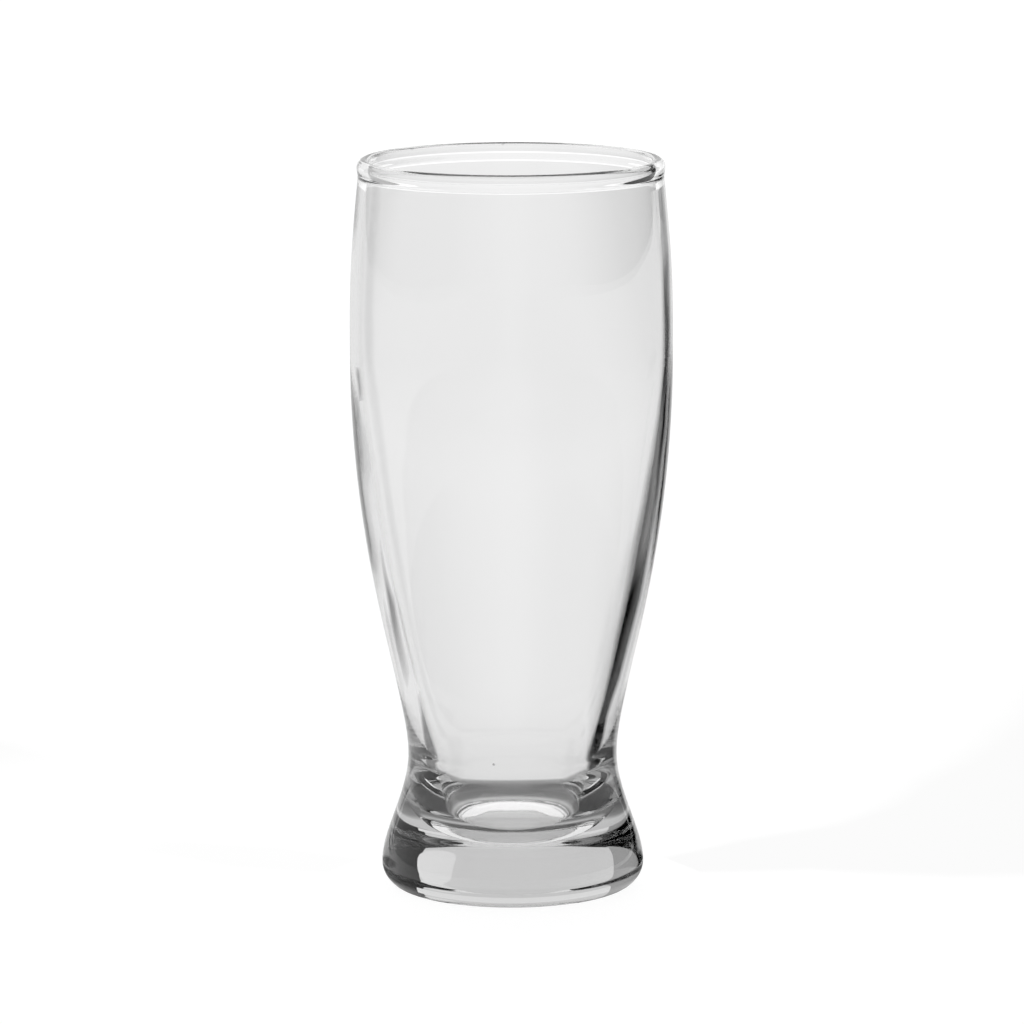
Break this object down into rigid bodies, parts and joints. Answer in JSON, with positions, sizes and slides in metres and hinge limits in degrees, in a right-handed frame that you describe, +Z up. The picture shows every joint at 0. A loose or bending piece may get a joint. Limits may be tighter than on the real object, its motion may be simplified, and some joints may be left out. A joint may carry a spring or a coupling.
{
  "type": "tulip beer glass",
  "caption": "Clear tulip beer glass: a bellied bowl that narrows to a thick waist, on a heavy flared foot with a round edge and a recessed underside.",
  "frame": {"origin": "on the glass's axis, in the plane that its foot stands on", "axes": "+Z up along the axis, from the foot to the rim"},
  "size_m": [0.0722, 0.0722, 0.165],
  "materials": {
    "clear_glass": "clear soda-lime glass, fire-polished smooth"
  },
  "bodies": {
    "root": {"beer_glass": "clear_glass"}
  },
  "joints": []
}
